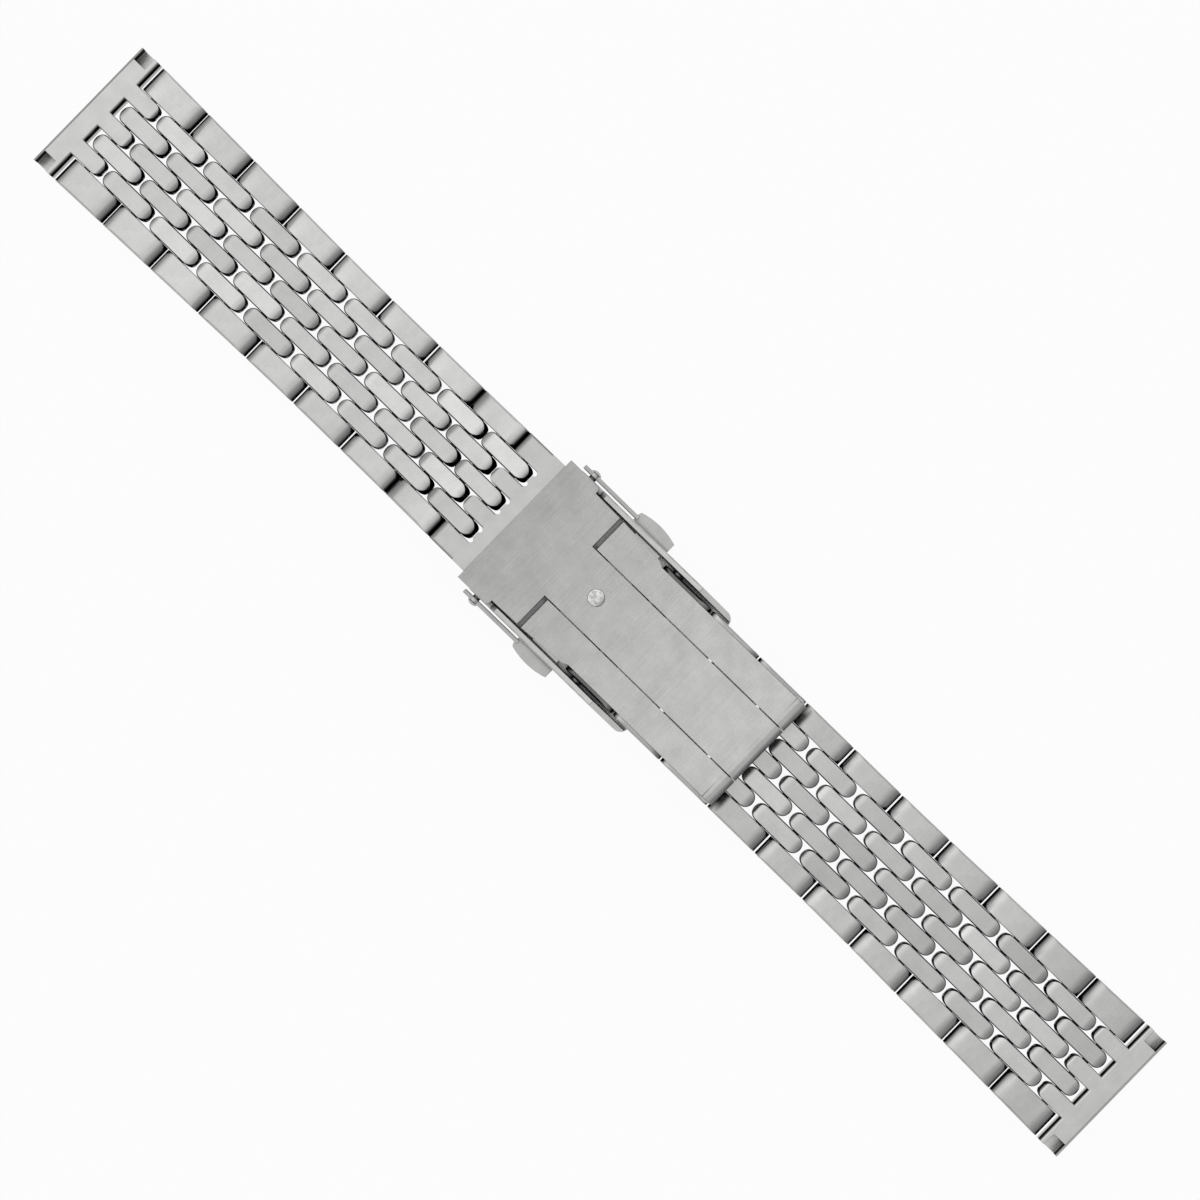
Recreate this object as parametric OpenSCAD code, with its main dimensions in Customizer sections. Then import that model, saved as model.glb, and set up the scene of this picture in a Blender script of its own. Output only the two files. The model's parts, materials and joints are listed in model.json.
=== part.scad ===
// Beads of rice watch bracelet with a fold-over clasp, closed, wrist side up on a table.
// Millimetres. +X runs along the strap from the end piece on the blades' side to the one on
// the cover's side, +Z points up to the wrist, and the origin lies on the table under the
// middle of the bracelet. Places along the clasp count from the cover's left end, and
// heights in the clasp count from the cover's outer face, towards the centre of its arch.

/* [Strap] */
// Distance between neighbouring hinge pins
pin_pitch = 4.125; // [4:0.025:4.4]
// Thickness of beads and links
strap_t = 2.7; // [2.5:0.05:2.9]
// Width of the strap at the clasp
strap_w = 18; // [17.4:0.1:18.8]
// Width of the end pieces
lug_w = 19.6; // [18.8:0.1:21.6]
// Rows over which the strap widens towards an end piece
taper_rows = 9; // [5:1:12]
// Rows between the clasp blades and their end piece
blade_rows = 16; // [12:2:20]
// Rows between the clasp cover and its end piece
cover_rows = 19; // [15:2:23]

/* [Beads and links] */
// Width of a bead
bead_w = 2.31; // [2.1:0.01:2.34]
// Clearance between pieces side by side
side_gap = 0.1; // [0.08:0.01:0.18]
// Gap between two beads end to end
bead_end_gap = 0.46; // [0.44:0.01:0.7]
// Radius of the dome across a bead's outer face
bead_dome_r = 1.3; // [1.2:0.05:1.6]
// End radius of a bead on its outer face, in side view
bead_outer_r = 1.15; // [0.8:0.05:1.3]
// End radius of a bead on its wrist face, in side view
bead_wrist_r = 0.55; // [0.3:0.05:0.8]
// Edge radius of a bead along its wrist face
bead_edge_r = 0.2; // [0.1:0.02:0.3]
// Gap between two outer links end to end
link_end_gap = 0.25; // [0.22:0.01:0.4]
// End radius of an outer link on its outer face, in side view
link_outer_r = 1.25; // [0.9:0.05:1.3]
// End radius of an outer link on its wrist face, in side view
link_wrist_r = 1; // [0.6:0.05:1.1]
// Radius of an outer link's long outer edge
link_edge_r = 0.7; // [0.3:0.05:0.9]

/* [Hinge pins] */
// Diameter of a hinge pin
pin_d = 1; // [0.8:0.05:1.1]
// Radial clearance of a pin in a piece that turns on it
turn_play = 0.045; // [0.02:0.005:0.08]
// Radial clearance of a pin in a piece that holds it
hold_play = 0.01; // [0.005:0.005:0.02]

/* [End pieces] */
// Distance from the last hinge pin to the edge that faces the watch
lug_reach = 5.5; // [5.2:0.05:5.8]
// Gap between the bar of an end piece and the first outer links
bar_gap = 0.55; // [0.45:0.01:0.7]
// Diameter of the bore for the watch's spring bar
lug_bore_d = 1.8; // [1.4:0.05:1.9]
// Distance from the edge that faces the watch to that bore's axis
lug_bore_inset = 1.35; // [1.3:0.05:1.5]
// Length of a tool notch, along the strap
notch_l = 1.9; // [1.5:0.05:2]
// Width of a tool notch
notch_w = 1.8; // [1.4:0.05:2.2]
// Wall between a tool notch and the edge that faces the watch
notch_wall = 0.35; // [0.3:0.01:0.45]
// Bevel of the edge that faces the watch
lug_bevel = 0.35; // [0.2:0.05:0.5]

/* [Clasp cover] */
// Length of the cover
cover_l = 26.65; // [25:0.05:29]
// Thickness of the cover's walls
wall_t = 0.72; // [0.6:0.02:0.86]
// Thickness of the cover's floor
floor_t = 0.9; // [0.7:0.05:1.2]
// Radius of the arch of the cover's outer face
arch_r = 110; // [100:1:140]
// Place of the lowest point of the arch
arch_x = 15.9; // [14:0.1:17]
// Clearance between the strap and the walls
strap_side_play = 0.43; // [0.35:0.01:0.5]
// Clearance between the strap and the floor
strap_floor_play = 0.25; // [0.2:0.01:0.35]
// Radius of the cover's long outer edges
cover_edge_r = 1.1; // [0.5:0.05:1.4]
// Radius of the cover's right corners in plan
cover_corner_r = 1.2; // [0.8:0.1:2]
// Place of the step where the walls rise to the blades
wall_step_x = 3.8; // [3.75:0.05:4.5]
// Length over which the walls fall to the right end
wall_fall_l = 5; // [3:0.1:5.5]
// Places of the spring bar's holes in the walls, the first one in use
bar_hole_x = [17.8, 20.6, 23.4];
// Diameter of the spring bar that holds the strap
bar_d = 1.5; // [1.3:0.05:1.6]
// Diameter of the spring bar's tips
bar_tip_d = 0.8; // [0.6:0.05:0.9]

/* [Clasp blades] */
// Thickness of the blades
blade_t = 0.9; // [0.7:0.05:1.1]
// Clearance between the strap in the cover and the blades
blade_play = 0.55; // [0.5:0.05:0.8]
// Clearance between the two blades in plan
seam = 0.15; // [0.1:0.01:0.2]
// Place of the bend where the inner blade meets its end link
bend_x = -1.45; // [-2:0.05:-1.2]
// Gap between the inner blade's head and the step of the cover's walls
head_gap = 0.25; // [0.2:0.01:0.5]
// Distance of that part's edges inside the cover's outer faces
head_inset = 0.12; // [0:0.01:0.3]
// Place of the head's shoulders
shoulder_x = 7.8; // [7.5:0.05:8.1]
// Width of the inner blade's stem
stem_w = 8.4; // [7.8:0.1:9]
// Gap between the shoulders and the outer blade's arms
shoulder_gap = 0.65; // [0.4:0.01:0.7]
// Place where the outer blade's arms step in
arm_step_x = 15; // [14:0.1:17]
// Width of an arm past that step
arm_w = 4; // [3.6:0.05:4.3]
// Place of the hinge between the two blades
blade_hinge_x = 39.3; // [37:0.1:42]
// Radius of that hinge's knuckles
blade_knuckle_r = 1.2; // [1.05:0.05:1.35]
// Radius of the cover hinge's knuckle
cover_knuckle_r = 1.15; // [1.05:0.01:1.2]
// Distance from the bend to the end link's hinge pin
end_link_l = 4.3; // [4.2:0.05:4.8]
// Tilt of the end link down to the strap
end_link_tilt = 8; // [6:0.5:10]

/* [Latch] */
// Place of the locking stud
stud_x = 12.4; // [12.2:0.05:12.7]
// Radius of the stud's rivet in the blade
rivet_r = 1.08; // [0.9:0.02:1.2]
// Radius of the stud's head
stud_head_r = 0.95; // [0.85:0.01:1]
// Radius of the stud's neck
stud_neck_r = 0.55; // [0.45:0.01:0.6]
// Thickness of a latch plate
latch_t = 0.45; // [0.35:0.01:0.5]
// Place of the buttons' left edge
button_x = 8.9; // [8.8:0.05:9.2]
// Length of a button
button_l = 5.85; // [5.5:0.05:6]
// Height of a button
button_h = 1.9; // [1.7:0.05:1.9]
// Distance that a button stands out of the wall
button_out = 1.8; // [1.4:0.05:2]
// Height of the dome across a button's outer face
button_dome = 0.45; // [0.2:0.05:0.9]
// Clearance of a button in its window
window_play = 0.2; // [0.15:0.01:0.25]
// Place where the pushers' arms start
arm_start_x = 0.1; // [0:0.05:0.8]
// Gap between a pusher's arm and the wall
arm_gap = 0.35; // [0.33:0.01:0.45]
// Thickness of a pusher's arm
arm_t = 0.5; // [0.4:0.02:0.6]
// Turn of a pusher when it is pressed
press_turn = 2.2; // [1.8:0.1:2.3]

/* [Hidden] */
$fn = 48;
arch_fn = 720;
steel = [0.76, 0.76, 0.75];
polished = [0.84, 0.84, 0.84];
blade_steel = [0.7, 0.7, 0.7];
pin_steel = [0.6, 0.6, 0.61];

// Columns of beads across the strap
column_pitch = bead_w + side_gap;
link_inner_y = 2.5 * bead_w + 3 * side_gap;
bead_l = 2 * pin_pitch - bead_end_gap;
link_l = 2 * pin_pitch - link_end_gap;
bead_reach = (pin_pitch - bead_end_gap) / 2;
link_reach = (pin_pitch - link_end_gap) / 2;
even_columns = [-2, 0, 2];
odd_columns = [-1, 1];
flat_z = strap_t / 2;
pin_r = pin_d / 2;

// Levels and widths of the clasp
inner_y = strap_w / 2 + strap_side_play;
cover_y = inner_y + wall_t;
bar_h = floor_t + strap_floor_play + strap_t / 2;
blade_h = bar_h + strap_t / 2 + blade_play;
blade_top_h = blade_h + blade_t;
wall_top_h = blade_top_h - 0.1;
hinge_play = 0.25;
hinge_h = floor_t + hinge_play + cover_knuckle_r;
swing_play = 0.3;
wall_end_r = blade_h - hinge_h - swing_play;
hinge_x = wall_end_r;
low_blade_h = blade_h - hinge_play - blade_t;
blade_y = inner_y - 0.33;
arm_x = shoulder_x + shoulder_gap;
arm_inner_y = stem_w / 2 + seam;
barrel_rise = 0.03;
blade_hinge_h = blade_top_h + barrel_rise - blade_knuckle_r;
blade_end_x = blade_hinge_x - 0.25;
head_y = cover_y - head_inset;
lever_y = cover_y + arm_gap + arm_t / 2;
button_z = floor_t + 0.35;

// Tilted end link and where its hinge pin lies
bend_z = arch_z(bend_x, blade_h + blade_t / 2);
end_link_drop = (strap_t - blade_t) / 2;
end_pin = [bend_x - end_link_l * cos(end_link_tilt) + end_link_drop * sin(end_link_tilt),
           bend_z - end_link_l * sin(end_link_tilt) - end_link_drop * cos(end_link_tilt)];

// Shares of the drop to the table that the pins outside the clasp still have left
blade_fall = [1, 0.7, 0.35, 0.08];
cover_fall = [0.72, 0.38, 0.12, 0.02];
pins_on_arch = 3;
rise_step = 0.05;

// Height of a place and level of the clasp over the table
function arch_z(x, h) = arch_r - sqrt(pow(arch_r - h, 2) - pow(x - arch_x, 2));

function share(list, i) = i < len(list) ? list[i] : 0;

// Hinge pins of the blades' side as [x, z], numbered from the clasp outwards
function blade_pin_z(i) = flat_z + (end_pin[1] - flat_z) * share(blade_fall, i);
function blade_pin_x(i) = i == 0 ? end_pin[0] :
    blade_pin_x(i - 1) - sqrt(pow(pin_pitch, 2) - pow(blade_pin_z(i) - blade_pin_z(i - 1), 2));
function blade_pin(i) = [blade_pin_x(i), blade_pin_z(i)];

// The same on the cover's side, where the first pin is the spring bar
function cover_pin_z(i) = i < pins_on_arch ?
    arch_z(bar_hole_x[0] + i * pin_pitch, bar_h) + i * rise_step :
    flat_z + (cover_pin_z(pins_on_arch - 1) - flat_z) * share(cover_fall, i - pins_on_arch);
function cover_pin_x(i) = i == 0 ? bar_hole_x[0] :
    cover_pin_x(i - 1) + sqrt(pow(pin_pitch, 2) - pow(cover_pin_z(i) - cover_pin_z(i - 1), 2));
function cover_pin(i) = [cover_pin_x(i), cover_pin_z(i)];

// Half the strap's width, this many rows away from an end piece
function edge_y(rows) = strap_w / 2 + (lug_w - strap_w) / 2 * max(0, 1 - rows / taper_rows);

left_end = blade_pin_x(blade_rows) - lug_reach;
right_end = cover_pin_x(cover_rows) + lug_reach;
clasp_x = -(left_end + right_end) / 2;

function padded(n) = n < 10 ? str("0", n) : str(n);
function blade_row_name(r) = str("blade_side_row_", padded(r));
function cover_row_name(r) = str("cover_side_row_", padded(r));

// Plain shapes

// A flat outline pushed along Y, with its own X and Y taken as X and Z
module along_y(w) {
    rotate([90, 0, 0]) linear_extrude(w, center = true) children();
}

// A flat outline pushed along X, with its own X and Y taken as Y and Z
module along_x(l) {
    rotate([90, 0, 90]) linear_extrude(l, center = true) children();
}

// A rod along Y
module rod(r, l) {
    rotate([90, 0, 0]) cylinder(h = l, r = r, center = true);
}

// What rounding takes off the upper right corner of an outline
module corner_waste(r) {
    difference() {
        translate([-r, -r]) square(2 * r);
        translate([-r, -r]) circle(r);
    }
}

// A centred rectangle with one radius for each corner: low left, low right, high right, high left
module soft_rect(l, w, radii) {
    difference() {
        square([l, w], center = true);
        for (i = [0 : 3]) {
            sx = i == 0 || i == 3 ? -1 : 1;
            sy = i < 2 ? -1 : 1;
            if (radii[i] > 0)
                translate([sx * l / 2, sy * w / 2])
                    mirror([sx < 0 ? 1 : 0, 0]) mirror([0, sy < 0 ? 1 : 0])
                        corner_waste(radii[i]);
        }
    }
}

// A bar with half-round ends, seen from above
module stadium(l, w) {
    square([l - w, w], center = true);
    for (side = [-1, 1]) translate([side * (l - w) / 2, 0]) circle(w / 2);
}

// Beads and links, with the strap's middle plane at Z = 0 and the clasp towards +X

// Cross-section of a bead, flat to the wrist and domed outside
module bead_section() {
    intersection() {
        soft_rect(bead_w, strap_t, [0, 0, bead_edge_r, bead_edge_r]);
        union() {
            translate([0, bead_dome_r - strap_t / 2]) circle(bead_dome_r);
            translate([-bead_w, bead_dome_r - strap_t / 2]) square([2 * bead_w, strap_t]);
        }
    }
}

// A grain of rice of this length
module grain(l) {
    intersection() {
        linear_extrude(2 * strap_t, center = true) stadium(l, bead_w);
        along_y(2 * bead_w)
            soft_rect(l, strap_t, [bead_outer_r, bead_outer_r, bead_wrist_r, bead_wrist_r]);
        along_x(2 * l) bead_section();
    }
}

// Side view of an outer link
module link_side(l) {
    soft_rect(l, strap_t, [link_outer_r, link_outer_r, link_wrist_r, link_wrist_r]);
}

// An outer link on the +Y side, with its half-widths at the end piece's and the clasp's ends
module outer_link(y_far, y_near) {
    slope = atan((y_near - y_far) / link_l);
    intersection() {
        along_y(4 * strap_w) link_side(link_l);
        translate([-link_l, link_inner_y, -strap_t]) cube([2 * link_l, strap_w, 2 * strap_t]);
        translate([0, (y_far + y_near) / 2, 0]) rotate([0, 0, slope])
            translate([0, -strap_w / 2, 0]) along_x(2 * link_l)
                soft_rect(strap_w, strap_t, [0, link_edge_r, link_edge_r / 2, 0]);
    }
}

// Both pin holes of a row
module row_bores(r) {
    for (side = [-1, 1]) translate([side * pin_pitch / 2, 0, 0]) rod(r, 2 * strap_w);
}

// A row of three beads
module bead_row() {
    color(polished) difference() {
        for (c = even_columns) translate([0, c * column_pitch, 0]) grain(bead_l);
        row_bores(pin_r + turn_play);
    }
}

// A row of two beads between the outer links, with its pins. rows_out counts the rows between
// it and its end piece, and the row next to the cover takes the spring bar in its near end.
module link_row(rows_out, on_spring_bar) {
    y_far = edge_y(rows_out);
    y_near = edge_y(rows_out + 2);
    bar_r = bar_d / 2 + turn_play;
    difference() {
        union() {
            color(polished) difference() {
                for (c = odd_columns) translate([0, c * column_pitch, 0]) grain(bead_l);
                row_bores(pin_r + turn_play);
            }
            color(steel) difference() {
                for (side = [0, 1]) mirror([0, side, 0]) outer_link(y_far, y_near);
                row_bores(pin_r + hold_play);
            }
        }
        if (on_spring_bar) translate([pin_pitch / 2, 0, 0]) rod(bar_r, 2 * strap_w);
    }
    color(pin_steel) {
        translate([-pin_pitch / 2, 0, 0]) rod(pin_r, pin_l(rows_out + 0.5));
        if (!on_spring_bar) translate([pin_pitch / 2, 0, 0]) rod(pin_r, pin_l(rows_out + 1.5));
    }
}

// Length of a pin this many rows away from an end piece, a little short of the outer links
function pin_l(rows) = 2 * edge_y(rows) - 0.1;

// End piece with its last hinge pin at the origin and its straight edge towards -X
module end_piece() {
    bar_x = link_reach + bar_gap;
    bar_l = lug_reach - bar_x;
    finger_l = bead_reach + bar_x + 0.65 * bar_l;
    color(steel) difference() {
        union() {
            translate([-bar_x - bar_l / 2, 0, 0]) along_y(lug_w) difference() {
                soft_rect(bar_l, strap_t, [0.9, 0.5, 0.35, 0]);
                translate([-bar_l / 2, strap_t / 2]) rotate(45)
                    square(lug_bevel * sqrt(2), center = true);
            }
            for (c = even_columns)
                translate([bead_reach - finger_l / 2, c * column_pitch, 0]) grain(finger_l);
        }
        rod(pin_r + turn_play, 2 * lug_w);
        translate([lug_bore_inset - lug_reach, 0, 0]) rod(lug_bore_d / 2, 2 * lug_w);
        for (side = [-1, 1])
            translate([notch_wall - lug_reach, side * lug_w / 2 - notch_w, -lug_bore_d / 2])
                cube([notch_l, 2 * notch_w, strap_t]);
    }
}

// Clasp, in places and heights along its arch

// Puts its children's origin at this place and height, with Z towards the arch's centre
module on_arch(x, h) {
    translate([arch_x, 0, arch_r]) rotate([0, -asin((x - arch_x) / (arch_r - h)), 0])
        translate([0, 0, h - arch_r]) children();
}

// An outline in height and width, carried round the arch under the whole clasp
module round_arch() {
    half_turn = 17;
    translate([arch_x, 0, arch_r]) rotate([90, 0, 0])
        rotate_extrude(start = -90 - half_turn, angle = 2 * half_turn, $fn = arch_fn)
            translate([arch_r, 0]) mirror([1, 0]) children();
}

// A plate between two heights, with the plan of its children
module arched_plate(low_h, high_h) {
    intersection() {
        round_arch() translate([low_h, -cover_y - 1]) square([high_h - low_h, 2 * cover_y + 2]);
        linear_extrude(4 * blade_top_h) children();
    }
}

// A rectangle in plan between two places, centred on the strap
module plan_rect(x0, x1, half_w) {
    translate([x0, -half_w]) square([x1 - x0, 2 * half_w]);
}

// Cross-section of the cover: a channel with rounded outer edges
module cover_section() {
    difference() {
        translate([wall_top_h / 2, 0])
            soft_rect(wall_top_h, 2 * cover_y, [cover_edge_r, 0.2, 0.2, cover_edge_r]);
        translate([floor_t, -inner_y]) square([wall_top_h, 2 * inner_y]);
    }
}

// What is cut off the walls' left end, in the frame of the cover's hinge
module wall_start_waste() {
    low_top = wall_end_r;
    step = wall_step_x - hinge_x;
    rise = wall_top_h - hinge_h - low_top;
    along_y(3 * cover_y) union() {
        translate([-2 * hinge_x, low_top]) square([2 * hinge_x + step, 2 * blade_top_h]);
        translate([step, low_top + rise / 2])
            polygon([[-0.1, 0], [0, 0], [rise, rise], [-0.1, rise]]);
        difference() {
            translate([-2 * hinge_x, 0]) square([2 * hinge_x, blade_top_h]);
            circle(wall_end_r);
        }
    }
}

// What is cut off the walls' right end, in the frame of the floor's right end
module wall_end_waste() {
    tip_h = 2.6;
    along_y(3 * cover_y)
        polygon([[-wall_fall_l, wall_top_h], [0, tip_h], [1, tip_h],
                 [1, 2 * wall_top_h], [-wall_fall_l, 2 * wall_top_h]]);
}

module clasp_cover() {
    color(steel) difference() {
        intersection() {
            round_arch() cover_section();
            translate([cover_l / 2, 0, -1]) linear_extrude(4 * blade_top_h)
                soft_rect(cover_l, 2 * cover_y, [0.5, cover_corner_r, cover_corner_r, 0.5]);
        }
        on_arch(hinge_x, hinge_h) {
            wall_start_waste();
            rod(pin_r + hold_play, 4 * cover_y);
        }
        on_arch(cover_l, 0) wall_end_waste();
        on_arch(stud_x, 0)
            translate([button_x - stud_x - window_play, -2 * cover_y, button_z - window_play / 2])
                cube([button_l + 2 * window_play, 4 * cover_y, button_h + window_play]);
        for (x = bar_hole_x) on_arch(x, bar_h) rod(bar_tip_d / 2 + 0.02, 4 * cover_y);
    }
}

// Pin through the walls, the outer blade and both pushers, with a domed head at each end
module cover_hinge_pin() {
    head_y = lever_y + arm_t / 2 + 0.08;
    head_t = 0.35;
    color(pin_steel) on_arch(hinge_x, hinge_h) {
        rod(pin_r, 2 * head_y + 0.2);
        for (side = [-1, 1]) translate([0, side * head_y, 0]) rotate([-side * 90, 0, 0])
            rivet_head(0.75, head_t);
    }
}

// A low domed head on the plane Z = 0
module rivet_head(r, t) {
    dome_r = (r * r + t * t) / (2 * t);
    rotate_extrude() intersection() {
        translate([0, t - dome_r]) circle(dome_r);
        square([r, t]);
    }
}

// Hollow body of the spring bar that holds the strap in the cover
module spring_bar() {
    body_l = 2 * inner_y - 0.24;
    color(pin_steel) on_arch(bar_hole_x[0], bar_h) difference() {
        rod(bar_d / 2, body_l);
        rod(bar_tip_d / 2 + 0.03, 2 * body_l);
    }
}

// The spring bar's two sprung tips, in the holes of the walls
module spring_bar_tips() {
    tip_in = 3;
    tip_y = cover_y - 0.1;
    color(polished) on_arch(bar_hole_x[0], bar_h)
        for (side = [-1, 1]) translate([0, side * (tip_y - (tip_in + wall_t) / 2), 0])
            rod(bar_tip_d / 2, tip_in + wall_t);
}

// Plan of the outer blade's arms, wide by the buttons and narrower past the step
module arms_plan() {
    narrow_y = arm_inner_y + arm_w;
    for (side = [0, 1]) mirror([0, side]) polygon([
        [arm_x, arm_inner_y], [blade_end_x, arm_inner_y], [blade_end_x, narrow_y],
        [arm_step_x + 0.8, narrow_y], [arm_step_x, blade_y - 0.35], [arm_x, blade_y]]);
}

// Outer blade: a fork that steps down to the cover's hinge under the inner blade's head
module outer_blade() {
    web_l = 1.9;
    web_x = -0.8;
    color(blade_steel) difference() {
        union() {
            arched_plate(blade_h, blade_top_h) arms_plan();
            arched_plate(low_blade_h, low_blade_h + blade_t)
                plan_rect(hinge_x, arm_x + blade_t, blade_y);
            arched_plate(low_blade_h, blade_top_h) intersection() {
                arms_plan();
                plan_rect(arm_x, arm_x + blade_t, blade_y);
            }
            on_arch(hinge_x, hinge_h) {
                rod(cover_knuckle_r, 2 * blade_y);
                translate([web_x, -blade_y, 0])
                    cube([web_l, 2 * blade_y, low_blade_h + blade_t - hinge_h - 0.02]);
            }
            for (side = [-1, 1]) on_arch(blade_hinge_x, blade_hinge_h)
                translate([0, side * (arm_inner_y + arm_w / 2), 0]) rod(blade_knuckle_r, arm_w);
        }
        on_arch(hinge_x, hinge_h) rod(pin_r + turn_play, 4 * cover_y);
        on_arch(blade_hinge_x, blade_hinge_h) rod(pin_r + hold_play, 4 * cover_y);
    }
}

module blade_hinge_pin() {
    head_y = arm_inner_y + arm_w;
    color(pin_steel) on_arch(blade_hinge_x, blade_hinge_h) {
        rod(pin_r, 2 * head_y + 0.2);
        for (side = [-1, 1]) translate([0, side * (head_y + 0.02), 0]) rotate([-side * 90, 0, 0])
            rivet_head(0.85, 0.4);
    }
}

// Plan of the inner blade: a wide head over the cover's walls, shoulders between them, a stem
module inner_plan() {
    wide_x = wall_step_x - head_gap;
    head_l = wide_x - bend_x;
    neck_y = blade_y + 0.1;
    translate([bend_x + head_l / 2, 0]) soft_rect(head_l, 2 * head_y, [0, 0.5, 0.5, 0]);
    polygon([[wide_x - 1, -neck_y], [wide_x, -neck_y], [shoulder_x, -blade_y],
             [shoulder_x, blade_y], [wide_x, neck_y], [wide_x - 1, neck_y]]);
    plan_rect(shoulder_x - 1, blade_end_x, stem_w / 2);
}

module inner_blade() {
    color(blade_steel) difference() {
        union() {
            arched_plate(blade_h, blade_top_h) inner_plan();
            on_arch(blade_hinge_x, blade_hinge_h) rod(blade_knuckle_r, stem_w);
        }
        on_arch(blade_hinge_x, blade_hinge_h) rod(pin_r + turn_play, 4 * cover_y);
        on_arch(stud_x, 0) cylinder(h = 2 * blade_top_h, r = rivet_r + 0.01);
    }
}

// Puts its children's origin on the end link's hinge pin
module at_end_link() {
    translate([end_pin[0], 0, end_pin[1]]) rotate([0, -end_link_tilt, 0]) children();
}

// End link of the inner blade: two outer fingers, two inner ones and three pockets for beads
module clasp_end_link() {
    pocket_play = 0.45;
    pocket_x = bead_reach + pocket_play;
    body_l = end_link_l + 1 - pocket_x;
    kept_l = 2 * strap_w;
    relief_r = 0.32;
    finger_l = bead_reach + pocket_x + 0.5 * body_l;
    color(steel) intersection() {
        at_end_link() difference() {
            union() {
                translate([pocket_x, -strap_w / 2, -strap_t / 2])
                    cube([body_l, strap_w, strap_t]);
                for (c = odd_columns)
                    translate([finger_l / 2 - bead_reach, c * column_pitch, 0]) grain(finger_l);
                for (side = [0, 1]) mirror([0, side, 0])
                    translate([pin_pitch / 2, 0, 0]) outer_link(strap_w / 2, strap_w / 2);
            }
            for (c = even_columns, side = [-1, 1])
                translate([pocket_x, c * column_pitch + side * (bead_w / 2 - relief_r), -strap_t])
                    cylinder(h = 2 * strap_t, r = relief_r);
            rod(pin_r + hold_play, 2 * strap_w);
        }
        translate([bend_x - kept_l, -strap_w, 0]) cube([kept_l, 2 * strap_w, 4 * blade_top_h]);
    }
}

module clasp_link_pin() {
    color(pin_steel) at_end_link() rod(pin_r, strap_w - 0.1);
}

// Latch

// Levels of the latch over the floor: the stud's head under two plates
stud_foot_h = floor_t + 0.15;
stud_head_t = 0.35;
latch_low_h = stud_foot_h + stud_head_t + 0.1;
latch_high_h = latch_low_h + latch_t + 0.1;
stud_body_h = latch_high_h + latch_t + 0.15;

// How far the latch plates move at the stud when a pusher is pressed
press_x = -(lever_y * sin(press_turn) + (stud_x - hinge_x) * (1 - cos(press_turn)));
press_y = -((stud_x - hinge_x) * sin(press_turn) - lever_y * (1 - cos(press_turn)));

// Stud riveted to the inner blade, with the head that the latch plates catch
module locking_stud() {
    body_r = rivet_r + 0.25;
    rivet_top_h = blade_top_h + 0.05;
    color(polished) on_arch(stud_x, 0) rotate_extrude() polygon([
        [0, stud_foot_h], [stud_head_r - 0.12, stud_foot_h], [stud_head_r, stud_foot_h + 0.12],
        [stud_head_r, stud_foot_h + stud_head_t], [stud_neck_r, stud_foot_h + stud_head_t],
        [stud_neck_r, stud_body_h], [body_r, stud_body_h], [body_r, blade_h - 0.03],
        [rivet_r, blade_h - 0.03], [rivet_r, blade_top_h], [rivet_r - 0.15, rivet_top_h],
        [0, rivet_top_h]]);
}

// Outside of a button in plan, one corner rounder than the other, from the wall outwards
module button_plan() {
    out_y = cover_y + button_out;
    in_y = inner_y - 0.1;
    dome_r = (pow(button_l / 2, 2) + pow(button_dome, 2)) / (2 * button_dome);
    intersection() {
        translate([0, out_y - dome_r]) circle(dome_r, $fn = 96);
        translate([0, (in_y + out_y) / 2]) soft_rect(button_l, out_y - in_y, [0, 0, 0.4, 1]);
    }
}

// Pusher on the +Y side: a springy arm hooked on the cover's hinge pin, and its button
module pusher() {
    arm_h0 = button_z;
    arm_h1 = button_z + button_h;
    color(steel) difference() {
        union() {
            arched_plate(arm_h0, arm_h1)
                translate([arm_start_x, lever_y - arm_t / 2])
                    square([button_x + 0.5 - arm_start_x, arm_t]);
            on_arch(hinge_x, hinge_h) translate([0, lever_y, 0]) rod(button_h / 2, arm_t);
            on_arch(stud_x, 0)
                translate([button_x + button_l / 2 - stud_x, 0, button_z])
                    linear_extrude(button_h) button_plan();
        }
        on_arch(hinge_x, hinge_h) rod(pin_r + 0.1, 4 * cover_y);
    }
}

module pusher_right() pusher();

module pusher_left() mirror([0, 1, 0]) pusher();

// Plate from the +Y button to the stud. Pressed, its keyhole lets the stud's head through.
module latch_plate(low_h) {
    half_w = 2.1;
    color(polished) on_arch(stud_x, 0) translate([0, 0, low_h]) linear_extrude(latch_t)
        difference() {
            union() {
                circle(half_w);
                translate([-half_w, 0]) square([2 * half_w, inner_y - 0.1]);
            }
            circle(stud_neck_r + 0.08);
            translate([-press_x, -press_y]) circle(stud_head_r + 0.08);
        }
}

module latch_plate_right() latch_plate(latch_high_h);

module latch_plate_left() mirror([0, 1, 0]) latch_plate(latch_low_h);

// Strap, row by row from the clasp outwards

// Puts a row between two pins, given as [x, z] from the clasp outwards
module between_pins(near, far) {
    tilt = asin((near[1] - far[1]) / pin_pitch);
    turned = near[0] < far[0];
    translate([(near[0] + far[0]) / 2, 0, (near[1] + far[1]) / 2])
        rotate([0, turned ? tilt : -tilt, 0]) rotate([0, 0, turned ? 180 : 0]) children();
}

module blade_side_row(r) {
    rows_out = blade_rows - r;
    between_pins(blade_pin(r - 1), blade_pin(r))
        if (rows_out % 2 == 0) link_row(rows_out, false);
        else bead_row();
}

module cover_side_row(r) {
    rows_out = cover_rows - r;
    between_pins(cover_pin(r - 1), cover_pin(r))
        if (rows_out % 2 == 0) link_row(rows_out, r == 1);
        else bead_row();
}

module blade_side_end_piece() {
    translate([blade_pin_x(blade_rows), 0, flat_z]) end_piece();
}

module cover_side_end_piece() {
    translate([cover_pin_x(cover_rows), 0, flat_z]) rotate([0, 0, 180]) end_piece();
}

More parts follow.
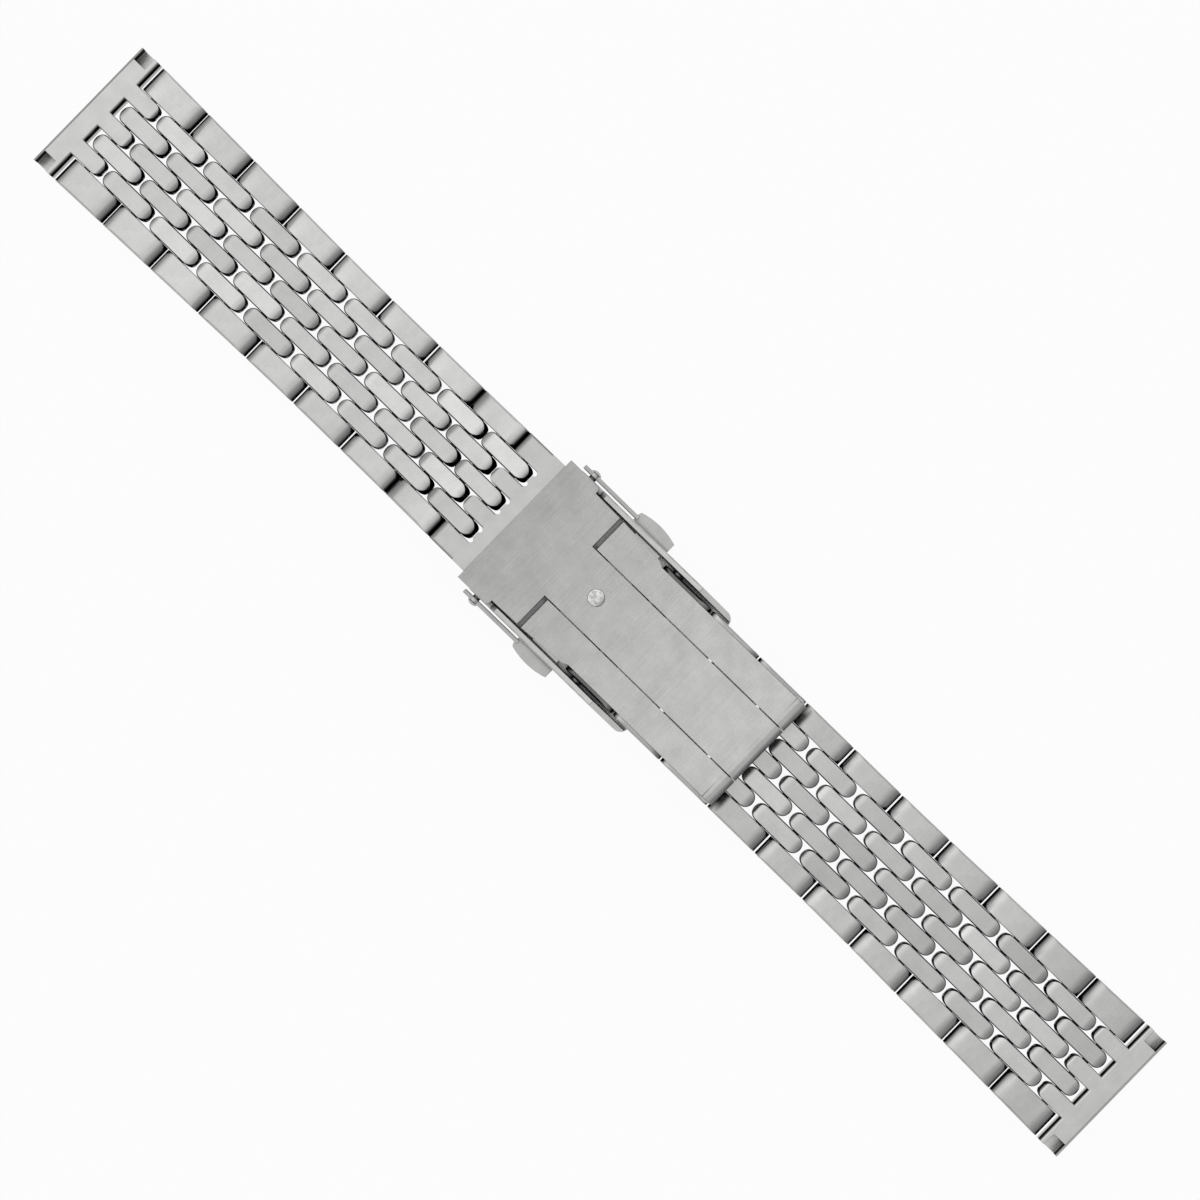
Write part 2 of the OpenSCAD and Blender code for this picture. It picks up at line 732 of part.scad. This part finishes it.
translate([clasp_x, 0, 0]) {
    clasp_cover();
    cover_hinge_pin();
    spring_bar();
    spring_bar_tips();
    outer_blade();
    blade_hinge_pin();
    inner_blade();
    clasp_end_link();
    clasp_link_pin();
    locking_stud();
    pusher_left();
    pusher_right();
    latch_plate_left();
    latch_plate_right();
    for (r = [1 : blade_rows])
        blade_side_row(r);
    blade_side_end_piece();
    for (r = [1 : cover_rows])
        cover_side_row(r);
    cover_side_end_piece();
}
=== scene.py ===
import json
import math

import bmesh
import bpy
from mathutils import Matrix, Vector


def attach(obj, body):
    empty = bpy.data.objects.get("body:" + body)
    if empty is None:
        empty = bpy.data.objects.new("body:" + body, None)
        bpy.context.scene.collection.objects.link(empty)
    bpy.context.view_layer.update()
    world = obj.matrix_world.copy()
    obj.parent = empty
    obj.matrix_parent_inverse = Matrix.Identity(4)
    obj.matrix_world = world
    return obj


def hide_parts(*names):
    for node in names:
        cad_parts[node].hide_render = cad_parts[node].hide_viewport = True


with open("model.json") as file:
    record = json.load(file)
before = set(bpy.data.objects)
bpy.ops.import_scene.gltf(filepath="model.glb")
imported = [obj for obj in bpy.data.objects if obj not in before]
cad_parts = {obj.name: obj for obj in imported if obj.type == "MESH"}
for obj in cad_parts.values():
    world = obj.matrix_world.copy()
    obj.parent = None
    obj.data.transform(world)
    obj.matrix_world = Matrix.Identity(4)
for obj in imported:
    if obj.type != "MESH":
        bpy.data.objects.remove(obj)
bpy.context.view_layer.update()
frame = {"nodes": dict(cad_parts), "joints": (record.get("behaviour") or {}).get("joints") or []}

MM = 0.001
scene = bpy.context.scene

# Sizes of the strap, in mm, as in the CAD source
PITCH = 4.125
STRAP_T = 2.7
STRAP_W = 18.0
LUG_W = 19.6
TAPER_ROWS = 9
BEAD_W = 2.31
SIDE_GAP = 0.1
BEAD_END_GAP = 0.46
LINK_END_GAP = 0.25
DOME_R = 1.3
BEAD_OUT_R = 1.15
LINK_OUT_R = 1.25
LINK_EDGE_R = 0.7
PIN_R = 0.5
PIN_SHORT = 0.1

BEAD_L = 2 * PITCH - BEAD_END_GAP
LINK_L = 2 * PITCH - LINK_END_GAP
COLUMN = BEAD_W + SIDE_GAP
LINK_IN = 2.5 * BEAD_W + 3 * SIDE_GAP

# Softer forms than the solids have, in mm. The wrist side's ends are longer than they are high,
# and beads are a little wider on each side, so that the gaps read as thin as in the photo.
BEAD_SWELL = 0.03
BEAD_WRIST_R = 0.65
BEAD_WRIST_L = 1.3
BEAD_EDGE_R = 0.16
LINK_WRIST_R = 1.0
LINK_WRIST_L = 1.9
LINK_INNER_BEVEL = 0.07
PIN_BEVEL = 0.08

# Angle between faces, in degrees, from which an edge is drawn sharp
SHARP = 38


# Node trees

class Graph:
    """Short ways to add and join the nodes of one tree. Values are floats, tuples or sockets."""

    def __init__(self, tree):
        self.tree = tree
        tree.nodes.clear()

    def add(self, kind, **values):
        """A node with these settings or, where it has no such setting, these inputs."""
        node = self.tree.nodes.new(kind)
        for key, value in values.items():
            if hasattr(node, key):
                setattr(node, key, value)
            else:
                node.inputs[key.replace("_", " ")].default_value = value
        return node

    def link(self, source, target):
        self.tree.links.new(source, target)

    def feed(self, sockets, values):
        for socket, value in zip(sockets, values):
            if isinstance(value, (float, tuple)):
                socket.default_value = value
            else:
                self.link(value, socket)

    def maths(self, operation, *values):
        node = self.add("ShaderNodeMath", operation=operation)
        self.feed(node.inputs, values)
        return node.outputs[0]

    def vectors(self, operation, *values):
        node = self.add("ShaderNodeVectorMath", operation=operation)
        self.feed(node.inputs, values)
        return node.outputs[0]

    def times(self, first, *others):
        for other in others:
            first = self.maths("MULTIPLY", first, other)
        return first

    def spread(self, value, low, high, start=0.3, stop=0.7):
        """Map a value from start and stop to low and high, and hold it beyond them."""
        node = self.add("ShaderNodeMapRange", From_Min=start, From_Max=stop, To_Min=low, To_Max=high)
        self.link(value, node.inputs["Value"])
        return node.outputs[0]

    def noise(self, vector, scale, detail, roughness):
        node = self.add("ShaderNodeTexNoise", Scale=scale, Detail=detail, Roughness=roughness)
        self.link(vector, node.inputs["Vector"])
        return node.outputs["Fac"]

    def split(self, vector):
        node = self.add("ShaderNodeSeparateXYZ")
        self.link(vector, node.inputs[0])
        return node.outputs

    def join(self, **axes):
        node = self.add("ShaderNodeCombineXYZ")
        for axis, value in axes.items():
            self.link(value, node.inputs[axis])
        return node.outputs[0]

    def tinted(self, colour, level):
        """One colour or level times another, by a Mix node's sockets for colours."""
        node = self.add("ShaderNodeMix", data_type="RGBA", blend_type="MULTIPLY")
        node.inputs[0].default_value = 1.0
        self.feed(node.inputs[6:8], (colour, level))
        return node.outputs[2]


def new_material(name):
    mat = bpy.data.materials.new(name)
    mat.use_nodes = True
    return mat, Graph(mat.node_tree)


# Materials

GRIT_SCALE = 7000.0
# Darkest grey of the painted shade in seams and crevices
CREVICE_SHADE_GREY = 0.08
# Darkest grey of the painted shade on flanks that turn towards Y
FLANK_SHADE_GREY = 0.06
BRUSH_DEPTH = 0.02 * MM


def steel(name, grey, rough, along, grain=1.0, blotch=0.06, bevel=0.1, streak=(160, 9000), bump=0.25,
          slope_shade_grey=1.0, side_rough=None, slope_shade_at=(0.82, 0.985), side_axis=None, shade_reach=0.4, patch=420.0,
          vary=0.0, settle=0.0, flank_shade=None, lit_below=None):
    """Satin steel, brushed along one axis, with soft blotches, softly rounded edges and painted shade in its
    seams.

    streak is the scale of the brushed lines along and across them, patch that of the blotches,
    bevel the radius of the edges and shade_reach the reach of the painted shade in the seams, both in mm.
    Faces on the wrist's side that slope take painted shade down to slope_shade_grey, and side_rough,
    between the two values of slope_shade_at, all of them or only those that turn towards side_axis.
    Flanks that turn towards Y take painted shade between the two values of flank_shade, and walls take
    painted light, a painted reflection of the table, up to the heights of lit_below, in mm, as from the
    table. Separate pieces vary in tone by vary, and slopes to the right are settled towards the level.
    """
    mat, g = new_material(name)
    coords = g.add("ShaderNodeTexCoord").outputs
    stretch = g.add("ShaderNodeMapping")
    scale = [streak[1]] * 3
    scale["xyz".index(along)] = streak[0]
    stretch.inputs["Scale"].default_value = scale
    g.link(coords["Object"], stretch.inputs["Vector"])
    lines = g.noise(stretch.outputs["Vector"], 1.0, 4.0, 0.65)
    clouds = g.noise(coords["Object"], patch, 3.0, 0.55)
    grit = g.noise(coords["Object"], GRIT_SCALE, 2.0, 0.6)

    # How upright a face's normal is, from 0 on a wall to 1 on a level face
    facing = g.split(coords["Normal"])
    if side_axis is None:
        upright = g.maths("ABSOLUTE", facing["Z"])
    else:
        squared = g.times(facing[side_axis], facing[side_axis])
        upright = g.maths("SQRT", g.maths("SUBTRACT", 1.0, squared))

    level = g.times(g.spread(lines, 1 - 0.07 * grain, 1 + 0.05 * grain),
                    g.spread(clouds, 1 - blotch, 1 + blotch),
                    g.spread(grit, 1 - 0.05 * grain, 1 + 0.04 * grain))
    # Painted shade: an ambient occlusion darkening of the colour in seams and crevices
    crevice_shade = g.add("ShaderNodeAmbientOcclusion", samples=8, Distance=shade_reach * MM)
    level = g.times(level, g.spread(crevice_shade.outputs["AO"], CREVICE_SHADE_GREY, 1, 0.25, 0.8))
    # Painted shade: faces on the wrist's side that slope away are darkened, in place of the dark reflections
    # off rounded ends
    if slope_shade_grey < 1:
        shade = g.spread(upright, slope_shade_grey, 1, *slope_shade_at)
        # Painted shade on the flanks that turn towards Y, in the narrow gaps between bead columns
        if flank_shade:
            shade = g.times(shade, g.spread(g.maths("ABSOLUTE", facing["Y"]), 1, FLANK_SHADE_GREY, *flank_shade))
        wrist_half = g.spread(facing["Z"], 0, 1, -0.35, -0.1)
        painted_dark = g.times(g.maths("SUBTRACT", 1.0, shade), wrist_half)
        level = g.times(level, g.maths("SUBTRACT", 1.0, painted_dark))
    # Painted light: walls are brightened up to a height above the table, a painted reflection of the table
    if lit_below:
        height = g.split(coords["Object"])["Z"]
        low = g.spread(height, 1, 0, lit_below[0] * MM, lit_below[1] * MM)
        wall = g.spread(upright, 1, 0, 0.2, 0.5)
        level = g.maths("MAXIMUM", level, g.times(low, wall))
    if vary:
        island = g.add("ShaderNodeNewGeometry").outputs["Random Per Island"]
        seed = g.join(X=island, Y=g.add("ShaderNodeObjectInfo").outputs["Random"])
        chance = g.add("ShaderNodeTexWhiteNoise", noise_dimensions="3D")
        g.link(seed, chance.inputs["Vector"])
        level = g.times(level, g.spread(chance.outputs["Value"], 1 - vary, 1 + vary, 0.0, 1.0))
    tint = g.tinted((grey, grey, grey * 0.99, 1), level)

    soft = g.add("ShaderNodeBevel", samples=6)
    soft.inputs["Radius"].default_value = bevel * MM
    normal = soft.outputs["Normal"]
    if settle:
        amount = g.times(g.spread(upright, 0, settle, 0.75, 0.85), g.spread(facing["X"], 0, 1, 0.17, 0.3))
        normal = g.vectors("NORMALIZE", g.vectors("ADD", normal, g.join(Z=amount)))
    relief = g.add("ShaderNodeBump", Strength=bump * grain, Distance=BRUSH_DEPTH)
    g.link(lines, relief.inputs["Height"])
    g.link(normal, relief.inputs["Normal"])

    shader = g.add("ShaderNodeBsdfPrincipled", Metallic=1.0)
    g.link(tint, shader.inputs["Base Color"])
    g.link(tint, shader.inputs["Specular Tint"])
    roughness = g.times(g.spread(lines, 0.86, 1.16), g.spread(upright, side_rough or rough, rough, 0.9, 0.99))
    g.link(roughness, shader.inputs["Roughness"])
    g.link(relief.outputs["Normal"], shader.inputs["Normal"])
    out = g.add("ShaderNodeOutputMaterial")
    g.link(shader.outputs["BSDF"], out.inputs["Surface"])
    return mat


# Painted shade on the ends that turn along the strap, on links and end pieces, and not on their long sides
SHADED_ENDS = dict(side_rough=0.2, slope_shade_at=(0.5, 0.97), side_axis="X")
# End pieces also take painted shade in their seams and painted light low on their walls
END_PIECE = dict(slope_shade_grey=0.3, shade_reach=1.2, lit_below=(1.2, 1.7), **SHADED_ENDS)

BEAD = steel("bead_steel", 0.6, 0.3, "x", bevel=0.04, slope_shade_grey=0.15, side_rough=0.14, slope_shade_at=(0.3, 0.92),
             vary=0.15, flank_shade=(0.05, 0.4))
LINK = steel("link_steel", 0.6, 0.32, "y", slope_shade_grey=0.1, vary=0.06, **SHADED_ENDS)
# Painted shade: a darker copy of the link steel, with wider seam shade, for the links under the clasp
SHADED_LINK = steel("shaded_link_steel", 0.5, 0.32, "y", slope_shade_grey=0.3, shade_reach=2.0, **SHADED_ENDS)
LUG = steel("end_piece_steel", 0.6, 0.34, "y", **END_PIECE)
# Painted light: a lighter copy of the end piece steel, for the cover side's end piece
LIT_LUG = steel("lit_end_piece_steel", 0.66, 0.34, "y", **END_PIECE)
END_LINK = steel("end_link_steel", 0.53, 0.34, "y", grain=0.9, slope_shade_grey=0.3, slope_shade_at=(0.4, 0.9))
COVER = steel("cover_steel", 0.62, 0.33, "x", settle=2.0, shade_reach=0.9)
PUSHER = steel("pusher_steel", 0.53, 0.33, "x", shade_reach=0.9)
BLADE = steel("blade_steel", 0.545, 0.36, "y", grain=1.6, blotch=0.07, slope_shade_grey=0.8, shade_reach=0.9, settle=2.0)
PIN = steel("pin_steel", 0.5, 0.22, "y", grain=0.5, shade_reach=1.0)
LATCH = steel("latch_steel", 0.62, 0.2, "x", grain=0.5)
STUD = steel("stud_steel", 0.66, 0.16, "x", blotch=0.5, patch=1700.0, streak=(1500, 2600), bump=1.0)


def paint(obj, mat):
    obj.data.materials.clear()
    obj.data.materials.append(mat)


for name, obj in frame["nodes"].items():
    if name == "clasp_cover":
        paint(obj, COVER)
    elif name in ("pusher_left", "pusher_right"):
        paint(obj, PUSHER)
    elif name in ("outer_blade", "inner_blade"):
        paint(obj, BLADE)
    elif name.startswith("latch_plate"):
        paint(obj, LATCH)
    elif name == "locking_stud":
        paint(obj, STUD)
    elif name in ("cover_hinge_pin", "blade_hinge_pin", "clasp_link_pin", "spring_bar", "spring_bar_tips"):
        paint(obj, PIN)
    elif name == "cover_side_end_piece":
        paint(obj, LIT_LUG)
    elif name == "blade_side_end_piece":
        paint(obj, LUG)
    elif name == "clasp_end_link":
        paint(obj, END_LINK)


# Meshes of the strap, made in mm and stored in metres

def arc_drop(distance, radius, length=None):
    """How far a rounded corner falls below its flat face, this near to the edge."""
    length = length or radius
    if distance >= length:
        return 0.0
    return radius * (1 - math.sqrt(max(0.0, 1 - (1 - distance / length) ** 2)))


def loft(rings):
    """A closed mesh through rings of equally many points."""
    bm = bmesh.new()
    rows = [[bm.verts.new([c * MM for c in p]) for p in ring] for ring in rings]
    count = len(rows[0])
    for a, b in zip(rows, rows[1:]):
        for i in range(count):
            bm.faces.new((a[i], a[(i + 1) % count], b[(i + 1) % count], b[i]))
    bm.faces.new(rows[0][::-1])
    bm.faces.new(rows[-1])
    bmesh.ops.recalc_face_normals(bm, faces=bm.faces)
    return bm


def to_mesh(bm, name):
    mesh = bpy.data.meshes.new(name)
    bm.to_mesh(mesh)
    bm.free()
    mesh.shade_smooth()
    mesh.set_sharp_from_angle(angle=math.radians(SHARP))
    return mesh


def bead_stations():
    """Places along a bead for its rings, close together round the ends."""
    half = BEAD_L / 2
    end_r = BEAD_W / 2 + BEAD_SWELL
    turns = [math.radians(a) for a in (90, 84, 74, 62, 50, 38, 27, 16, 6)]
    round_end = [half - end_r * (1 - math.cos(t)) for t in turns]
    corners = [half - BEAD_WRIST_L, half - BEAD_WRIST_L - 0.06, half - BEAD_OUT_R]
    right_half = [round(x, 5) for x in round_end + corners]
    return sorted(set(right_half + [-x for x in right_half] + [0.0]))


def bead_bm(y0):
    """A grain of rice along X, flat to the wrist (+Z) and domed outside."""
    end_r = BEAD_W / 2 + BEAD_SWELL
    rings = []
    for x in bead_stations():
        inside = BEAD_L / 2 - abs(x)
        w = end_r if inside >= end_r else math.sqrt(max(0.0, end_r ** 2 - (end_r - inside) ** 2))
        w = max(w, 0.05)
        top = STRAP_T / 2 - arc_drop(inside, BEAD_WRIST_R, BEAD_WRIST_L)
        low = -STRAP_T / 2 + arc_drop(inside, BEAD_OUT_R)
        edge = min(BEAD_EDGE_R, w * 0.9)
        side = []
        for share in (0.0, 0.4, 0.75, 1.0):
            y = w * share
            dome = -STRAP_T / 2 + DOME_R - math.sqrt(max(0.0, DOME_R ** 2 - y ** 2))
            side.append((y, max(low, dome)))
        side[-1] = (w, min(side[-1][1], top - edge - 0.01))
        for angle in (0, 22.5, 45, 67.5, 90):
            a = math.radians(angle)
            side.append((w - edge * (1 - math.cos(a)), top - edge * (1 - math.sin(a))))
        side.append(((w - edge) * 0.94, top))
        rings.append([(x, y0 + y, z) for y, z in side] + [(x, y0 - y, z) for y, z in reversed(side)])
    bm = loft(rings)
    bmesh.ops.remove_doubles(bm, verts=bm.verts, dist=0.004 * MM)
    return bm


def edge_y(rows):
    """Half of the strap's width, this many rows away from an end piece."""
    return STRAP_W / 2 + (LUG_W - STRAP_W) / 2 * max(0.0, 1 - rows / TAPER_ROWS)


def link_profile():
    """Side view of an outer link, anticlockwise from the lower left."""
    half, h = LINK_L / 2, STRAP_T / 2
    outer, wrist = (LINK_OUT_R, LINK_OUT_R), (LINK_WRIST_L, LINK_WRIST_R)
    corners = ((-1, -1, outer, 180), (1, -1, outer, 270), (1, 1, wrist, 0), (-1, 1, wrist, 90))
    steps = 8
    points = []
    for cx, cz, (l, r), start in corners:
        for k in range(steps + 1):
            a = math.radians(start + 90 * k / steps)
            points.append((cx * (half - l) + l * math.cos(a), cz * (h - r) + r * math.sin(a)))
    return points


def link_bm(y_far, y_near):
    """An outer link on the +Y side, with its long outer edges rounded."""
    profile = link_profile()
    bevel = LINK_INNER_BEVEL
    rings = [[(x * (1 - bevel / LINK_L), LINK_IN, z * (1 - 1.6 * bevel / STRAP_T)) for x, z in profile],
             [(x, LINK_IN + bevel, z) for x, z in profile]]
    for inside in (1.2, 0.7, 0.48, 0.35, 0.24, 0.14, 0.07, 0.02, 0.0):
        low = -STRAP_T / 2 + arc_drop(inside, LINK_EDGE_R)
        high = STRAP_T / 2 - arc_drop(inside, LINK_EDGE_R / 2)
        ends = 1 - 2 * arc_drop(inside, 0.12) / LINK_L
        ring = []
        for x, z in profile:
            t = (x + LINK_L / 2) / LINK_L
            ring.append((x * ends, y_far + (y_near - y_far) * t - inside, min(max(z, low), high)))
        rings.append(ring)
    return loft(rings)


def rod_bm(x, length):
    """A hinge pin along Y with bevelled ends."""
    half, small = length / 2, PIN_R - PIN_BEVEL
    turns = [math.radians(a) for a in range(0, 360, 15)]
    rings = []
    for y, r in ((-half, small), (-half + PIN_BEVEL, PIN_R), (half - PIN_BEVEL, PIN_R), (half, small)):
        rings.append([(x + r * math.cos(a), y, r * math.sin(a)) for a in turns])
    return loft(rings)


def merge(parts):
    out = bmesh.new()
    for bm in parts:
        mesh = bpy.data.meshes.new("part")
        bm.to_mesh(mesh)
        bm.free()
        out.from_mesh(mesh)
        bpy.data.meshes.remove(mesh)
    return out


def mirrored(bm):
    bmesh.ops.transform(bm, matrix=Matrix.Scale(-1, 4, (0, 1, 0)), verts=bm.verts)
    bmesh.ops.reverse_faces(bm, faces=bm.faces)
    return bm


THREE = to_mesh(merge([bead_bm(c * COLUMN) for c in (-2, 0, 2)]), "three_beads")
TWO = to_mesh(merge([bead_bm(c * COLUMN) for c in (-1, 1)]), "two_beads")
for mesh in (THREE, TWO):
    mesh.materials.append(BEAD)

link_meshes = {}
pin_meshes = {}


def link_mesh(rows_out, mat):
    key = (edge_y(rows_out), edge_y(rows_out + 2), mat.name)
    if key not in link_meshes:
        mesh = to_mesh(merge([link_bm(*key[:2]), mirrored(link_bm(*key[:2]))]), "outer_links")
        mesh.materials.append(mat)
        link_meshes[key] = mesh
    return link_meshes[key]


def pin_mesh(near, far):
    """A row's two pins, of these lengths. The near one is left out where a spring bar is."""
    key = (near, far)
    if key not in pin_meshes:
        rods = [rod_bm(-PITCH / 2, far)]
        if near:
            rods.append(rod_bm(PITCH / 2, near))
        mesh = to_mesh(merge(rods), "row_pins")
        mesh.materials.append(PIN)
        pin_meshes[key] = mesh
    return pin_meshes[key]


# Strap

def place(near, far, flip):
    """Row frame: X to the clasp, Z to the wrist, between two pins."""
    mid = (near + far) / 2
    ex = (near - far).normalized()
    ey = Vector((0, -1 if flip else 1, 0))
    ez = ex.cross(ey)
    return Matrix.Translation((mid.x, 0, mid.z)) @ Matrix((ex, ey, ez)).transposed().to_4x4()


def piece(name, mesh, matrix, body):
    """A piece that rides a body. A tilted one gets its own mesh, so that its box isn't overstated."""
    if abs(matrix[2][0]) > 1e-4:
        mesh = mesh.copy()
        turned = matrix.to_3x3().to_4x4()
        mesh.transform(turned)
        matrix = matrix @ turned.inverted()
    obj = bpy.data.objects.new(name, mesh)
    scene.collection.objects.link(obj)
    obj.matrix_world = matrix
    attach(obj, body)
    return obj


pins = {j["name"]: Vector(j["pos_m"]) for j in frame["joints"]}

for side, flip in (("blade_side", False), ("cover_side", True)):
    count = len([n for n in frame["nodes"] if n.startswith(side + "_row_")])
    for r in range(1, count + 1):
        node = f"{side}_row_{r:02d}"
        near, far = pins[f"{side}_pin_{r - 1:02d}"], pins[f"{side}_pin_{r:02d}"]
        matrix = place(near, far, flip)
        rows_out = count - r
        if rows_out % 2:
            beads = piece(node + "_beads", THREE, matrix, node)
        else:
            beads = piece(node + "_beads", TWO, matrix, node)
            on_bar = flip and r == 1
            # The links on the cover's bar take the darker copy of the link steel, a painted shade under the
            # clasp
            links = link_mesh(rows_out, SHADED_LINK if on_bar else LINK)
            piece(node + "_links", links, matrix, node)
            far_l = 2 * edge_y(rows_out + 0.5) - PIN_SHORT
            near_l = 0 if on_bar else 2 * edge_y(rows_out + 1.5) - PIN_SHORT
            piece(node + "_pins", pin_mesh(near_l, far_l), matrix, node)
        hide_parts(node)


# Stage

FLOOR_SIZE = 60
FLOOR_Z = -0.02 * MM


def plain(name, colour, white_share):
    """A diffuse colour that the camera, metal and glass see part white."""
    mat, g = new_material(name)
    path = g.add("ShaderNodeLightPath").outputs
    seen = g.maths("MAXIMUM", path["Is Camera Ray"], path["Is Glossy Ray"])
    seen = g.maths("MAXIMUM", seen, path["Is Transmission Ray"])
    lit = g.add("ShaderNodeBsdfDiffuse", Color=(colour, colour, colour, 1))
    white = g.add("ShaderNodeEmission", Color=(1, 1, 1, 1), Strength=1.0)
    mix = g.add("ShaderNodeMixShader")
    g.feed(mix.inputs, (g.times(seen, white_share), lit.outputs[0], white.outputs[0]))
    out = g.add("ShaderNodeOutputMaterial")
    g.link(mix.outputs[0], out.inputs["Surface"])
    return mat


bpy.ops.mesh.primitive_plane_add(size=FLOOR_SIZE, location=(0, 0, FLOOR_Z))
floor = bpy.context.object
floor.name = "floor"
floor.data.materials.append(plain("floor_white", 0.92, 0.94))


def sky_ramp(sky, source, levels):
    """Brightness at places along a value from 0 to 1."""
    ramp = sky.add("ShaderNodeValToRGB")
    elements = ramp.color_ramp.elements
    while len(elements) < len(levels):
        elements.new(0.5)
    for element, (position, level) in zip(elements, levels):
        element.position = position
        element.color = (level, level, level, 1)
    sky.link(source, ramp.inputs[0])
    return ramp.outputs["Color"]


def studio_world():
    """A sky that is brightest overhead and to the left, and darkest to the right."""
    world = bpy.data.worlds.new("studio")
    world.use_nodes = True
    sky = Graph(world.node_tree)
    direction = sky.split(sky.add("ShaderNodeTexCoord").outputs["Generated"])
    by_height = sky_ramp(sky, direction["Z"],
                         ((0.0, 0.6), (0.3, 0.5), (0.55, 0.55), (0.78, 0.93), (1.0, 1.0)))
    from_left = sky.maths("MULTIPLY_ADD", direction["X"], 0.5, 0.5)
    by_side = sky_ramp(sky, from_left,
                       ((0.0, 1.0), (0.25, 1.0), (0.35, 0.96), (0.5, 0.9), (0.63, 0.85), (0.67, 0.78),
                        (0.71, 0.62), (0.8, 0.46), (0.9, 0.6), (1.0, 0.7)))
    background = sky.add("ShaderNodeBackground", Strength=1.0)
    sky.link(sky.tinted(by_height, by_side), background.inputs["Color"])
    out = sky.add("ShaderNodeOutputWorld")
    sky.link(background.outputs[0], out.inputs["Surface"])
    return world


scene.world = studio_world()


def softbox(name, position, size, power):
    """A square lamp that points to the middle of the strap."""
    light = bpy.data.lights.new(name, "AREA")
    light.shape = "RECTANGLE"
    light.size = light.size_y = size
    light.energy = power
    obj = bpy.data.objects.new(name, light)
    scene.collection.objects.link(obj)
    obj.location = position
    obj.rotation_euler = (-Vector(position)).to_track_quat("-Z", "Y").to_euler()


softbox("key", (-0.55, 0.35, 0.9), 1.2, 0.9)


# Camera, as solved from the photo, with lengths in mm

TILT = math.radians(1.6)
ROLL = math.radians(44.222)
DISTANCE = 330.0
TARGET = Vector((0.553, 0.15, 3.0))
LENS = 79.56
SENSOR = 36

toward = Vector((math.sin(TILT), 0, math.cos(TILT)))
along = Vector((math.cos(TILT), 0, -math.sin(TILT)))
across = Vector((0, 1, 0))
right = math.cos(ROLL) * along + math.sin(ROLL) * across
up = -math.sin(ROLL) * along + math.cos(ROLL) * across
cam_data = bpy.data.cameras.new("camera")
cam_data.sensor_width = SENSOR
cam_data.lens = LENS
cam_data.clip_start, cam_data.clip_end = 0.01, 20
camera = bpy.data.objects.new("camera", cam_data)
scene.collection.objects.link(camera)
turn = Matrix((right, up, toward)).transposed()
camera.matrix_world = Matrix.Translation((TARGET + DISTANCE * toward) * MM) @ turn.to_4x4()
scene.camera = camera

scene.view_settings.view_transform = "Standard"
